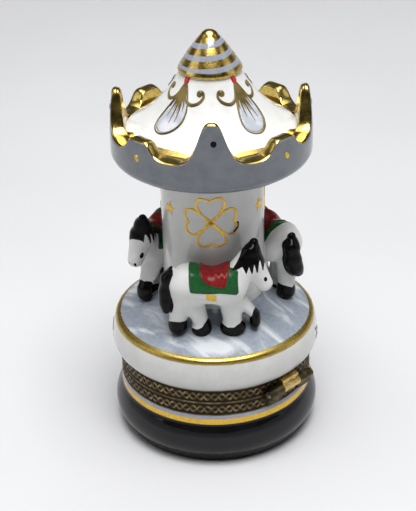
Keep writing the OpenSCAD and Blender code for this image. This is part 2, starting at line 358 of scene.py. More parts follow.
# on the column the slope paint is a blue-grey band at its foot, partly the platform's colour and partly
# painted shade at the joint
column_glaze = glazed("column_glaze", *SHADED_WHITE,
                      [("slope", *SLOPE_BLUE, 0.0, 0.12, 0.5)])
canopy_glaze = glazed("canopy_glaze", *SLATE, [white_inside, gold_rim], rough=0.09)
roof_glaze = glazed("roof_glaze", *WHITE,
                    [("cap", (0.27, 0.29, 0.345), (0.23, 0.25, 0.305), 0.0, 0.1, 0.05),
                     ("gold", GOLD[0], (0.48, 0.31, 0.06), 1.0, 0.23, 0.1)])
horse_glaze = glazed("horse_glaze", *WHITE,
                     [("green", (0.012, 0.075, 0.022), (0.02, 0.10, 0.03), 0.0, 0.16, 0.10),
                      ("red", (0.17, 0.012, 0.014), (0.24, 0.02, 0.02), 0.0, 0.16, 0.10),
                      ("pink", (0.42, 0.13, 0.09), (0.32, 0.07, 0.05), 0.0, 0.2, 0.05),
                      ("black", (0.003, 0.003, 0.003), (0.006, 0.0055, 0.0055), 0.0, 0.12, 0.10),
                      ("gold", (0.78, 0.50, 0.06), (0.60, 0.36, 0.04), 0.5, 0.3, 0.08)],
                     rough=0.13, coat=0.0, gloss=0.12)
gold_paint = metal("gold_paint", (0.90, 0.56, 0.06), (0.66, 0.39, 0.03), 0.36)
brown_gold = metal("brown_gold", (0.50, 0.29, 0.08), (0.30, 0.16, 0.04), 0.4)
roof_gold = glazed("roof_gold", (0.165, 0.115, 0.028), (0.058, 0.042, 0.012), rough=0.2, coat=0.1)
black_enamel = glazed("black_enamel", (0.003, 0.003, 0.003), (0.007, 0.006, 0.006), rough=0.1, coat=0.0,
                      gloss=0.15)
red_enamel = glazed("red_enamel", (0.48, 0.012, 0.008), (0.33, 0.01, 0.006), rough=0.12)
green_enamel = glazed("green_enamel", (0.010, 0.035, 0.014), (0.02, 0.06, 0.02), rough=0.14)
feather_enamel = glazed("feather_enamel", (0.40, 0.43, 0.48), (0.60, 0.61, 0.64), rough=0.1)
plain_brass = metal("plain_brass", (0.52, 0.38, 0.16), (0.28, 0.20, 0.09), 0.3)
old_brass = metal("old_brass", (0.46, 0.36, 0.20), (0.15, 0.11, 0.06), 0.34, relief="relief")
dark_brass = metal("dark_brass", (0.15, 0.115, 0.06), (0.05, 0.04, 0.022), 0.36)
bright_brass = metal("bright_brass", (0.75, 0.55, 0.22), (0.50, 0.34, 0.11), 0.24)
steel_wire = metal("pin_wire", (0.42, 0.40, 0.36), (0.25, 0.23, 0.2), 0.3)
cement = glazed("cement", (0.45, 0.43, 0.38), (0.36, 0.34, 0.29), rough=0.75, coat=0.0)


# ---- porcelain of the base
def build_base():
    """Foot, glossy bulge, neck inside the bezel and the bay."""
    foot_z, belly_z, bay_round = 3.5, 5.9, 3.5
    ring_low, ring_high = 11.2, 12.65
    profile = ([(0, 0.9), (17.8, 0.9), (18.6, 0.0), (22.2, 0.0), (22.6, 0.3), (24.35, foot_z)]
               + curve((24.45, foot_z + 0.1), (BASE_R, 4.6), (BASE_R, belly_z), 10)
               + curve((BASE_R, belly_z), (BASE_R, 8.2), (23.5, 10.5), 20)[1:]
               + [(BEZEL_R + 0.02, 10.9), (BEZEL_R - 0.1, LOW_Z), (NECK_R, LOW_Z), (NECK_R, JOINT_Z - 0.3),
                  (BAY_R, JOINT_Z - 0.3)]
               + arc(BAY_R - bay_round, FLOOR_T + bay_round, bay_round, bay_round, 0, -90, 14)
               + [(0, FLOOR_T)])
    verts, faces = lathe(refine(rounded(profile, 0.35), 0.5), 224, close=False)

    def ochre(az, r, z):
        edge = wobble(radians(az), 1.3, 0.12)
        return max(ring_low + edge - z, z - ring_high) if r > NECK_R + 0.3 else 1.0

    def band(az, r, z):
        return max(ring_high - 0.3 - z, NECK_R - 0.5 - r)

    def inner(az, r, z):
        return max(r - NECK_R - 0.3, 1.2 - z)

    # Painted shade: the band below the bulge's crease, dark and without reflections.
    def foot(az, r, z):
        return max(z - foot_z - 0.05, 18 - r)
    mesh_piece("base_porcelain", "base", verts, faces, base_glaze, ("base_dish",),
               fields(verts, ochre, band, inner, foot))


def stage_profile():
    """Outside of the platform: white band, rim, painted slope and the glaze that runs up the column."""
    belly, belly_z = 3.05, 23.6
    middle = RIM_R + 0.8 - belly
    return ([(NECK_R, HIGH_Z + 0.02)] + arc(middle, belly_z, belly, 3.2, -61, 0, 14)
            + arc(middle, belly_z, belly, 7.3, 3, 42, 16)
            + curve((RIM_R + 0.02, RIM_Z), (RIM_R - 0.15, RIM_Z + 0.85), (SLOPE_R, SLOPE_Z), 6)
            + curve((SLOPE_R, SLOPE_Z), (17.5, 31.7), (13.4, 33.5), 20)[1:]
            + curve((13.4, 33.5), (12.4, 33.9), (COLUMN_R, 35.0), 6)[1:] + [(COLUMN_R - 0.4, 35.0)])


def build_stage():
    """Platform of the lid, hollow underneath, with its white band and blue slope."""
    neck_in = 20.9
    ceiling = STAGE_Z - 2.9
    inside = ([(0, ceiling), (8, ceiling), (17, SLOPE_Z - 1)]
              + curve((18.3, SLOPE_Z - 1.6), (neck_in, 27), (neck_in, 24), 8)
              + [(neck_in, JOINT_Z + 0.3), (NECK_R, JOINT_Z + 0.3)])
    under_column = [(COLUMN_R - 0.4, STAGE_Z - 0.2), (0, STAGE_Z - 0.2)]
    profile = refine(rounded(inside + stage_profile() + under_column, 0.25), 0.5)
    verts, faces = lathe(profile, 224, close=False)

    def ochre(az, r, z):
        a = radians(az)
        low = RIM_Z - 0.15 + wobble(a, 0.4, 0.08)
        return max(low - z, z - SLOPE_Z - 0.12 - wobble(a, 2.2, 0.07), SLOPE_R - 1.2 - r)

    def slope(az, r, z):
        return max(RIM_Z + 0.3 - z, COLUMN_R - 0.1 - r, stage_top(r) - 0.8 - z)

    # More white strokes in front of each horse's hooves: partly brushwork, partly a painted pool of light on
    # the platform.
    def strokes_and_light(az, r, z):
        turn = (az - FRONT + 60) % 120 - 60
        return exp(-(turn / 15) ** 2 - ((r - 20.2) / 1.9) ** 2) if z > SLOPE_Z else 0.0
    mesh_piece("stage_porcelain", "lid", verts, faces, stage_glaze, ("lid_platform",),
               fields(verts, ochre, slope, strokes_and_light))


def build_column():
    bevel = 0.05
    profile = refine([(COLUMN_BORE, STAGE_Z), (COLUMN_R - bevel, STAGE_Z), (COLUMN_R, STAGE_Z + bevel),
                      (COLUMN_R, CANOPY_Z - bevel), (COLUMN_R - bevel, CANOPY_Z),
                      (COLUMN_BORE, CANOPY_Z)], 1.0)
    verts, faces = lathe(profile, 192)

    # Blue-grey carried about 1.8 mm up from the platform, which also darkens the joint: painted shade.
    def slope(az, r, z):
        return z - STAGE_Z - 1.8 - wobble(radians(az), 0.6, 0.3)
    mesh_piece("column_porcelain", "lid", verts, faces, column_glaze, ("column",),
               fields(verts, slope))


# ---- canopy and crown
# half of one scallop of the crown's edge: degrees from a tall point, height
CROWN = [(0, 86.8), (3.0, 86.7), (4.6, 86.2), (5.8, 85.2), (7.0, 83.7), (8.3, 82.1), (9.8, 80.8),
         (11.3, 79.7), (13.4, 78.6), (16.4, 77.8), (21, 77.4), (28, 77.4), (31.5, 77.8), (34, 78.5),
         (35.9, 79.5), (37.2, 80.5), (38.6, 80.95), (45, 80.9)]


def crown_height(az):
    """Height of the crown's edge, with tall points every 90 degrees and low bumps between them."""
    a = (degrees(az) - FRONT) % 90
    a = min(a, 90 - a)
    for (a0, z0), (a1, z1) in zip(CROWN, CROWN[1:]):
        if a <= a1:
            return z0 + (z1 - z0) * (a - a0) / (a1 - a0)
    return CROWN[-1][1]


OUTER = ([(COLUMN_R, CANOPY_Z)]
         + curve((CANOPY_R - 2.6, CANOPY_Z + 2.6), (CANOPY_R, CANOPY_Z + 3.4), (CANOPY_R, EDGE_Z), 14)
         + curve((CANOPY_R, EDGE_Z + 0.6), (CANOPY_R + 0.05, 80.5), (CANOPY_R - 1.1, CROWN_Z), 20))
INNER = curve((CROWN_IN, ROOF_Z), (CROWN_IN + 0.6, 82), (CANOPY_R - 3.05, CROWN_Z), 12)
HOLLOW_R = CROWN_IN - 1.2
HOLLOW = (curve((COLUMN_BORE, CANOPY_Z + 2.4), (CROWN_IN - 1.5, CANOPY_Z + 4.6), (HOLLOW_R, HOLLOW_Z - 1), 10)
          + [(HOLLOW_R, HOLLOW_Z), (CROWN_IN, HOLLOW_Z)])


def build_canopy():
    """Bowl and scalloped crown, one closed section at every step round the axis."""
    seg = 1440
    heights = [crown_height(TAU * i / seg) for i in range(seg)]
    for _ in range(seg // 20):
        heights = [(heights[i - 1] + 2 * heights[i] + heights[(i + 1) % seg]) / 4 for i in range(seg)]
    skirt = refine([(COLUMN_BORE, CANOPY_Z)] + [p for p in OUTER if p[1] < EDGE_Z + 0.1], 0.7)
    hollow = refine(HOLLOW, 1.2)
    corner, n_wall, n_corner, n_top, n_in = 0.85, 16, 7, 5, 16
    turns = [pi / 2 * k / n_corner for k in range(n_corner + 1)]
    outside = len(skirt) + n_wall + n_corner
    verts, gold, inner = [], [], []

    def rise(profile, low, high, n):
        return [(radius_at(profile, z), z) for z in (low + (high - low) * k / n for k in range(1, n + 1))]
    for i, height in enumerate(heights):
        az = TAU * i / seg
        h = height + wobble(az, 1.9, 0.06)
        inner_edge = max(h - 0.12, ROOF_Z - 0.08)
        inner_corner = corner * min(1.0, max(0.08, (h - ROOF_Z - 0.3) / 1.2))
        z_wall = h - corner
        r_out, r_in = radius_at(OUTER, z_wall), radius_at(INNER, z_wall)
        across = r_out - r_in - corner - inner_corner
        col = skirt + rise(OUTER, skirt[-1][1], z_wall, n_wall)
        col += [(r_out - corner * (1 - cos(w)), z_wall + corner * sin(w)) for w in turns[1:]]
        for t in [k / n_top for k in range(1, n_top)]:
            col.append((r_out - corner - across * t, h + 0.10 * sin(pi * t) + (inner_edge - h) * t))
        for w in turns:
            drop = inner_corner * (1 - cos(w))
            col.append((r_in + inner_corner * (1 - sin(w)), inner_edge - drop))
        col += rise(INNER, col[-1][1], ROOF_Z - 1.5, n_in) + hollow[::-1][1:]
        verts += swing(col, az)
        inner += [1.0 if k < outside else -1.0 for k in range(len(col))]
        low = max(height - 5.2 - 0.4 * sin(9 * az) - wobble(az, 0.7, 0.35), HOLLOW_Z + 0.1)
        edge = height - 0.34 - wobble(az, 3.1, 0.07)
        gold += [edge - z if z > EDGE_Z + 1 else 5.0 for r, z in col[:outside]]
        gold += [low - z for r, z in col[outside:]]
    mesh_piece("canopy_porcelain", "lid", verts, ring_faces(seg, len(verts) // seg), canopy_glaze,
               ("canopy_bowl",), {"gold": gold, "inner": inner})


ROOF = (curve((CROWN_IN, ROOF_Z - 0.1), (11.2, 82.2), (CAP_R - 0.45, CAP_Z - 0.25), 40)
        + [(CAP_R - 0.05, CAP_Z - 0.12), (CAP_R, CAP_Z + 0.12), (CAP_R - 0.1, CAP_Z + 0.45)]
        + curve((CAP_R - 0.35, CAP_Z + 0.95), (3.9, 96.6), (2.1, 98.5), 20)
        + curve((1.9, 98.75), (1.35, TOP_Z - 0.1), (0, TOP_Z), 8))


def build_roof():
    """Roof cone with its cap, hollow inside."""
    foot_in = CROWN_IN - 3
    profile = refine([(foot_in, HOLLOW_Z), (CROWN_IN, HOLLOW_Z)] + ROOF[:-1], 0.35) + [(0.0, TOP_Z)]
    inside = ([(0.0, CAP_Z - 1), (CAP_R - 2.4, CAP_Z - 1.5)]
              + curve((CAP_R - 2, CAP_Z - 2.6), (9.3, 80.6), (foot_in, HOLLOW_Z + 0.6), 16)
              + [(foot_in, HOLLOW_Z)])
    verts, faces = lathe(profile + inside[:-1], 360)

    def cap(az, r, z):
        return CAP_Z - 0.05 - z

    def gold(az, r, z):
        if z < ROOF_Z + 3:
            turn = (az - FRONT) % 90
            reach = 1.0 + 0.2 * sin(radians(7 * az)) + wobble(radians(az), 1.1, 0.2)
            valley = min(1.0, max(0.0, (min(turn, 90 - turn) - 11) / 7))
            return (CROWN_IN - reach * valley) - r if valley > 0 else 1.0
        if z < CAP_Z - 0.3:
            return 1.0
        if z > TOP_Z - 0.95:
            return -1.0
        pitch, width = 2.35, 1.36
        t = (z - CAP_Z - 0.2 - pitch * ((az - 30) % 360) / 360) % pitch
        stripe = (pitch - width) / 2 - abs(t - pitch / 2)
        lowest = z - (CAP_Z + 0.95 + 0.1 * sin(radians(3 * az)))
        return min(stripe, lowest, (TOP_Z - 1.3) - z)
    mesh_piece("roof_porcelain", "lid", verts, faces, roof_glaze, ("roof_cone",),
               fields(verts, cap, gold))


# ---- horses, shaped as distance fields
# Their own axes: x forward, y away from the column, z up from the platform under their outer hooves.
SLANT = 0.55                      # paint outlines are drawn on the flank as it is seen from 29 degrees above
BODY_Y, LEG_Y, HEAD_Y, INNER_Y = -0.7, -1.2, -2.2, -2.6
CREST = [(3.7, 16.5), (5.9, 20.3), (7.0, 23.8), (7.6, 27), (10.4, 27), (11.2, 22.4), (12.6, 20.4),
         (12.4, 17.6), (11.5, 18.9), (11.0, 16.6), (10.3, 19.0), (9.7, 15.9), (9.0, 18.3), (8.5, 15.5),
         (7.8, 17.9), (7.2, 15.4), (6.4, 17.6), (5.2, 16.6)]
BLANKET = [(-5.6, 11.3), (-5.2, 10.95), (0, 10.7), (4.9, 10.4), (5.3, 10.9), (5.5, 16.4), (4.7, 17.3),
           (3.6, 17.5), (3.5, 27), (-5.6, 27)]
SADDLE = [(-3.2, 27), (-3.2, 16.2), (-2.8, 14.3), (-1.3, 12.9), (1, 12.2), (2.3, 12.3), (3.0, 14.6),
          (3.3, 16.8), (3.4, 27)]
BUCKLE = [(-1.9, 9.0), (0.3, 8.8), (0.35, 10.3), (-1.9, 10.5)]
HOOVES = [[(-11.6, 3.9), (-9.5, 3.3), (-8, 3.2), (-6.4, 3.7), (-6.1, 1.5), (-7, -3), (-11.6, -3)],
          [(-5.9, 1.6), (-4.2, 1.3), (-3, 1.8), (-2, 3.2), (-1.3, 4.6), (0.2, 4.4), (0.3, 0.5), (-1.5, -3),
           (-5.9, -3)],
          [(0.8, 4.0), (1.8, 2.6), (3, 1.7), (4.4, 1.6), (5.8, 2.6), (6.9, 4.2), (8, 4.0), (8, 0.5),
           (6.6, -3), (1, -3)],
          [(9.2, 6.7), (10.8, 6.4), (11.6, 3.7), (11.0, 0.4), (8.0, 0.4), (7.4, 3.2), (8.3, 4.4), (8.7, 5.6)]]
BLANKET_LOW, SADDLE_LOW = 9.4, 10.8


def limb(p, a, b, ra, rb):
    """Distance to a round limb from a to b with a radius at each end."""
    a, b = np.array(a, float), np.array(b, float)
    ab = b - a
    t = np.clip((p - a) @ ab / (ab @ ab), 0, 1)
    return np.linalg.norm(p - a - t[..., None] * ab, axis=-1) - (ra + (rb - ra) * t)


def egg(p, centre, radii):
    """Distance to an egg with three radii, near enough for melting."""
    q = (p - np.array(centre, float)) / np.array(radii, float)
    k0 = np.linalg.norm(q, axis=-1)
    k1 = np.linalg.norm(q / np.array(radii, float), axis=-1)
    return k0 * (k0 - 1) / np.maximum(k1, 1e-9)


def melt(a, b, k):
    """Joins two shapes with a soft valley about k wide."""
    h = np.clip(0.5 + 0.5 * (b - a) / k, 0, 1)
    return b + (a - b) * h - k * h * (1 - h)


def outline(x, z, points):
    """Signed distance to a closed outline, below 0 inside."""
    best = np.full(np.shape(x), 1e9)
    inside = np.zeros(np.shape(x), bool)
    for (x0, z0), (x1, z1) in zip(points, points[1:] + points[:1]):
        ex, ez = x1 - x0, z1 - z0
        t = np.clip(((x - x0) * ex + (z - z0) * ez) / (ex * ex + ez * ez), 0, 1)
        best = np.minimum(best, np.hypot(x - x0 - t * ex, z - z0 - t * ez))
        if z0 != z1:
            inside ^= ((z0 > z) != (z1 > z)) & (x < x0 + ex * (z - z0) / ez)
    return np.where(inside, -best, best)


STAGE_SIDE = stage_profile()
SLOPE_LINE = [p for p in STAGE_SIDE if p[1] >= SLOPE_Z][::-1]


def stage_top(radius):
    """Height of the glazed platform, as it is really turned, at each of many distances from the axis."""
    return np.interp(radius, [p[0] for p in SLOPE_LINE], [p[1] for p in SLOPE_LINE])


def seen(p, middle):
    """Height on the side view, the same on both flanks."""
    return p[..., 2] - SLANT * (np.abs(p[..., 1] - middle) + middle)


def crest_shape(p):
    hood = limb(p, (8.5, -2.3, 17.2), (9.1, -2.9, 22.2), 3.15, 1.0)
    return melt(hood, limb(p, (8.1, -2.0, 20.2), (4.7, -1.2, 16.8), 1.7, 1.5), 1.4)


def tail_shape(p):
    q = p * np.array([1, 0.76, 1])
    joints = (((-9.6, -0.7, 16.6), 0.8), ((-10.8, -1.1, 14.0), 1.1), ((-11.1, -1.05, 10.8), 1.32),
              ((-11.1, -0.5, 8.4), 1.15), ((-11.0, 0.25, 6.9), 0.9))
    parts = [limb(q, a, b, ra, rb) for (a, ra), (b, rb) in zip(joints, joints[1:])]
    d = parts[0]
    for part in parts[1:]:
        d = melt(d, part, 1.8)
    return d


def leg_shape(p, hip, hoof, radii, hoof_radii):
    leg = limb(p, hip, hoof, *radii)
    return melt(leg, egg(p, (hoof[0], hoof[1], hoof[2] - 1.4), hoof_radii), 0.8)


def foreleg_shape(p):
    """The raised foreleg, made deeper across than its own radii."""
    middle, squeeze = np.array([0, INNER_Y, 0]), np.array([1, 0.62, 1])
    p = middle + (p - middle) * squeeze
    return leg_shape(p, (4.4, INNER_Y, 9.6), (9.3, INNER_Y, 3.4), (1.9, 1.0), (1.3, 1.3, 2.2))


def horse_shape(p):
    """Distance to the glazed horse, without its paint."""
    y = BODY_Y
    d = melt(egg(p, (-5.8, y, 13.3), (4.7, 4.45, 4.6)), limb(p, (-4, y, 12.3), (3, y, 12.1), 4.1, 4.05), 1.2)
    d = melt(d, egg(p, (3.0, y, 12.0), (4.2, 4.1, 4.5)), 1.2)
    d = melt(d, limb(p, (-6.3, -4.1, 12.2), (2.5, -3.9, 11.4), 2.9, 2.6), 1.0)
    d = melt(d, limb(p, (4.0, y, 13.6), (8.0, -1.9, 17.4), 3.6, 2.9), 1.4)
    d = melt(d, limb(p, (8.8, -2.1, 16.8), (11.4, -1.9, 12.2), 2.8, 1.9), 0.9)
    legs = (leg_shape(p, (-7.4, y, 10.5), (-8.6, -1.6, 2.9), (2.9, 2.0), (2.2, 2.35, 2.3)),
            leg_shape(p, (-5.4, y, 10), (-3.1, LEG_Y, 2.3), (2.5, 1.8), (2.35, 2.2, 2.2)),
            leg_shape(p, (3.4, y, 10.5), (4.1, LEG_Y, 2.4), (2.8, 2.1), (3.0, 2.3, 2.3)),
            foreleg_shape(p))
    for leg in legs:
        d = melt(d, leg, 1.1)
    d = melt(d, tail_shape(p), 0.3)
    return melt(d, crest_shape(p), 0.3)


def flank_patch(p, edge, lowest):
    """Field of an outline on the flank, cut off at a lowest height."""
    return np.maximum(outline(p[..., 0], seen(p, BODY_Y), edge), lowest - p[..., 2])


def horse_paint(p):
    """Painted fields of the horse, each below 0 inside its colour."""
    x = p[..., 0]
    blanket, saddle = flank_patch(p, BLANKET, BLANKET_LOW), flank_patch(p, SADDLE, SADDLE_LOW)
    hood = np.maximum(outline(x, seen(p, HEAD_Y), CREST), crest_shape(p) - 1.5)
    black = np.minimum(hood, np.maximum(tail_shape(p) - 0.5, x + 9.3))
    for hoof, middle in zip(HOOVES, (LEG_Y, LEG_Y, LEG_Y, INNER_Y)):
        black = np.minimum(black, np.maximum(outline(x, seen(p, middle), hoof), p[..., 2] - 6.5))
    eye = 0.9 * np.hypot((x - 11.6) / 0.8, (seen(p, HEAD_Y) - 14.1) / 1.2) - 0.46
    black = np.minimum(black, np.maximum(eye, 11.0 - x))
    for side in (-1, 1):
        nostril = (p - np.array([13.1, -1.9 + 0.85 * side, 11.6])) / np.array([1, 0.8, 1.5])
        black = np.minimum(black, np.linalg.norm(nostril, axis=-1) - 0.32)
    wave = np.abs(seen(p, BODY_Y) - 15.3 - 0.4 * np.sin(4.6 * x)) - 0.17
    stitch = np.maximum(np.maximum(wave, np.abs(x - 0.3) - 2.1), saddle + 0.4)
    red = np.maximum(saddle, blanket)
    return {"green": blanket, "red": red, "black": black, "gold": flank_patch(p, BUCKLE, 6), "pink": stitch}


def horse_surface(p):
    """Distance to the finished horse: raised blanket and saddle, melted onto the platform and the column."""
    d = horse_shape(p)
    for edge, lift, lowest in ((BLANKET, 0.22, BLANKET_LOW), (SADDLE, 0.38, SADDLE_LOW)):
        t = np.clip(-flank_patch(p, edge, lowest) / 0.35 + 0.5, 0, 1)
        d = d - lift * t * t * (3 - 2 * t) * (crest_shape(p) > 0.3)
    radius = np.hypot(p[..., 0], p[..., 1] + ORBIT_R)
    column = radius - COLUMN_R
    stage = (p[..., 2] - stage_top(radius) + STAGE_AT_ORBIT) * 0.92
    joined = melt(melt(d, column, 0.6), stage, 0.35) + 0.08
    return np.maximum(np.minimum(d, np.maximum(joined, d - 1.2)), -np.minimum(column + 0.5, stage + 0.5))


def surface_net(values, origin, step):
    """Quads along the places where a grid of distances changes sign."""
    inside = values < 0
    corners = np.array([(i, j, k) for i in (0, 1) for j in (0, 1) for k in (0, 1)])
    n = np.array(values.shape) - 1
    count = sum(inside[i:n[0] + i, j:n[1] + j, k:n[2] + k].astype(int) for i, j, k in corners)
    cells = np.argwhere((count > 0) & (count < 8))
    index = np.full(tuple(n), -1)
    index[tuple(cells.T)] = np.arange(len(cells))
    total, hits = np.zeros((len(cells), 3)), np.zeros(len(cells))
    for a in corners:
        for axis in range(3):
            if a[axis]:
                continue
            b = a.copy()
            b[axis] = 1
            va, vb = values[tuple((cells + a).T)], values[tuple((cells + b).T)]
            cross = (va < 0) != (vb < 0)
            t = np.where(cross, va / np.where(cross, va - vb, 1), 0)
            total[cross] += (a + t[:, None] * (b - a))[cross]
            hits[cross] += 1
    points = origin + step * (cells + total / hits[:, None])
    faces = []
    for axis in range(3):
        u, v = (axis + 1) % 3, (axis + 2) % 3
        size = list(values.shape)
        size[axis] -= 1
        low, high = [slice(None)] * 3, [slice(None)] * 3
        low[axis], high[axis] = slice(0, -1), slice(1, None)
        edges = np.argwhere(inside[tuple(low)] != inside[tuple(high)])
        eu, ev = edges[:, u], edges[:, v]
        edges = edges[(eu > 0) & (ev > 0) & (eu < size[u] - 1) & (ev < size[v] - 1)]
        du, dv = np.eye(3, dtype=int)[u], np.eye(3, dtype=int)[v]
        around = [edges, edges - du, edges - du - dv, edges - dv]
        quad = np.stack([index[tuple(cell.T)] for cell in around], axis=1)
        flip = ~inside[tuple(edges.T)]
        quad[flip] = quad[flip][:, ::-1]
        faces.append(quad)
    return points, np.concatenate(faces)


def settle(points, fn, rounds=2):
    """Moves points onto the surface where fn is 0."""
    h = 0.02
    for _ in range(rounds):
        d = fn(points)
        slope = np.stack([(fn(points + h * e) - fn(points - h * e)) / (2 * h) for e in np.eye(3)], axis=-1)
        size = np.maximum((slope ** 2).sum(axis=-1), 0.2)
        move = -d[:, None] * slope / size[:, None]
        points = points + np.clip(move, -0.08, 0.08)
    return points


def build_horses():
    """One horse's surface, placed three times."""
    step = 0.22
    low, high = np.array([-14.5, -7.6, -5.0]), np.array([14.5, 5.4, 26.0])
    counts = np.ceil((high - low) / step).astype(int) + 1
    axes = [low[i] + step * np.arange(counts[i]) for i in range(3)]
    slabs = []
    for x in np.array_split(axes[0], 8):
        grid = np.stack(np.meshgrid(x, axes[1], axes[2], indexing="ij"), axis=-1)
        slabs.append(horse_surface(grid))
    points, faces = surface_net(np.concatenate(slabs), low, step)
    points = settle(points, horse_surface)
    faces = faces[:, ::-1]
    paint = horse_paint(points)
    for number, turn in enumerate((FRONT + 90, FRONT + 210, FRONT + 330), start=1):
        a = radians(turn)
        local = np.stack([points[:, 0], -ORBIT_R - points[:, 1], points[:, 2] + STAGE_AT_ORBIT], axis=1)
        placed = local @ np.array([[cos(a), sin(a), 0], [-sin(a), cos(a), 0], [0, 0, 1]])
        wander = 0.12 * np.sin(points @ np.array([0.9, 0.7, 1.1]) + 2.4 * number)
        mesh_piece("horse_figure_%d" % number, "lid", placed, faces, horse_glaze,
                   ("horse_%d" % number,), {key: value + wander for key, value in paint.items()})


# ---- raised gold and enamel on turned surfaces
def turned(profile):
    """Surface of a turned profile: places by azimuth from the clover's side and height."""
    def place(az, z):
        return Vector(swing([(radius_at(profile, z), z)], radians(FRONT + az))[0])
    return place


column_at, roof_at = turned([(COLUMN_R, STAGE_Z), (COLUMN_R, CANOPY_Z)]), turned(ROOF)
canopy_at, stage_at = turned(OUTER), turned(STAGE_SIDE)


def normal_at(surface, az, z):
    d = 0.05
    across = surface(az + d, z) - surface(az - d, z)
    up = surface(az, z + d) - surface(az, z - d)
    return across.cross(up).normalized()


def flow(points, step=6, closed=False):
    """Smooth curve through points of any number of values."""
    before, after = (points[-1:], points[:2]) if closed else (points[:1], points[-1:])
    pts = before + points + after

    def between(a, b, c, d, t):
        bend, twist = 2 * a - 5 * b + 4 * c - d, 3 * b - a - 3 * c + d
        return 0.5 * (2 * b + (c - a) * t + bend * t * t + twist * t ** 3)
    out = []
    for four in zip(pts, pts[1:], pts[2:], pts[3:]):
        out += [tuple(between(*values, i / step) for values in zip(*four)) for i in range(step)]
    return out if closed else out + [tuple(points[-1])]


class Heap:
    """Collects several closed shells into one mesh."""
    def __init__(self):
        self.verts, self.faces = [], []

    def add(self, verts, faces):
        base = len(self.verts)
        self.verts += [tuple(v) for v in verts]
        self.faces += [tuple(base + i for i in f) for f in faces]

    def piece(self, name, material, slot="white_porcelain"):
        mesh_piece(name, "lid", self.verts, self.faces, material)


def stroke(heap, surface, path, height=0.09, sink=0.12, wave=0.0):
    """A brush line with a domed top; path holds (azimuth, z, width)."""
    pts = flow(path)
    places = [surface(a, z) for a, z, w in pts]
    verts, faces = [], []
    side_steps = 6
    for i, (a, z, w) in enumerate(pts):
        ahead = places[min(i + 1, len(pts) - 1)] - places[max(i - 1, 0)]
        n = normal_at(surface, a, z)
        side = n.cross(ahead)
        side = side.normalized() if side.length > 1e-9 else Vector((0, 0, 1))
        half = max(w, 0.04) / 2 * (1 + wave * sin(2.7 * i + a))
        for k in range(side_steps + 1):
            t = k / side_steps * 2 - 1
            verts.append(places[i] + side * half * t + n * (height * (1 - t ** 4) - sink * (abs(t) == 1)))
        verts.append(places[i] - n * (sink + 0.03))
    ring = side_steps + 2
    for i in range(len(pts) - 1):
        for k in range(ring):
            m = (k + 1) % ring
            faces.append((i * ring + k, i * ring + m, (i + 1) * ring + m, (i + 1) * ring + k))
    faces.append(tuple(range(ring - 1, -1, -1)))
    last = (len(pts) - 1) * ring
    faces.append(tuple(last + k for k in range(ring)))
    heap.add(verts, faces)


def patch(heap, surface, edge, centre, height=0.06, sink=0.1, rings=7):
    """A flat drop of enamel with a domed top inside an outline of (azimuth, z)."""
    n = len(edge)
    verts, faces = [], []
    for top in (True, False):
        for t in [k / rings for k in range(1, rings + top)]:
            lift = height * (1 - t ** 6) - sink * 0.4 * (t == 1) if top else -sink
            for a, z in edge:
                pa, pz = centre[0] + (a - centre[0]) * t, centre[1] + (z - centre[1]) * t
                verts.append(surface(pa, pz) + normal_at(surface, pa, pz) * lift)
    crown = len(verts)
    for lift in (height, -sink):
        verts.append(surface(*centre) + normal_at(surface, *centre) * lift)
    under, rim = n * rings, n * (rings - 1)
    for k in range(rings - 1):
        for i in range(n):
            j = (i + 1) % n
            faces.append((k * n + i, (k + 1) * n + i, (k + 1) * n + j, k * n + j))
            a = under + k * n
            b = a + n if k < rings - 2 else rim
            faces.append((a + j, b + j, b + i, a + i))
    for i in range(n):
        j = (i + 1) % n
        faces += [(crown, i, j), (crown + 1, under + j, under + i)]
    heap.add(verts, faces)


def around(centre, r, x, z, turn=0.0):
    """Azimuth and height of a place x and z mm from a centre, turned about it, on a surface of radius r."""
    u, v = x * cos(turn) - z * sin(turn), x * sin(turn) + z * cos(turn)
    return centre[0] + degrees(u / r), centre[1] + v


def clover_path(turn, size, centre, sway):
    """One heart-shaped leaf, drawn from the middle of the clover out and back."""
    shape = [(0.35, 0.1), (1.7, 1.6), (2.9, 3.5), (3.05, 4.9), (2.2, 5.75), (0.9, 5.6), (0.0, 5.05),
             (-0.9, 5.55), (-2.2, 5.6), (-3.0, 4.7), (-2.8, 3.4), (-1.6, 1.6), (-0.35, 0.1)]
    places = [around(centre, COLUMN_R, size * x, size * z, radians(turn)) for x, z in shape]
    return [(*place, 0.60 + 0.14 * sin(3.3 * k + sway)) for k, place in enumerate(places)]


def star_edge(centre, size, turn, r):
    """Outline of a five-pointed star."""
    out = []
    for k in range(10):
        a = radians(turn + 36 * k)
        reach = size * (1.0 if k % 2 == 0 else 0.42)
        out.append(around(centre, r, reach * sin(a), reach * cos(a)))
    return out


def dot(heap, surface, centre, rx, rz, r, height, rings=4, n=16, turn=0.0):
    """An oval drop of enamel."""
    edge = [around(centre, r, rx * cos(TAU * k / n), rz * sin(TAU * k / n), turn) for k in range(n)]
    patch(heap, surface, edge, centre, height, rings=rings)


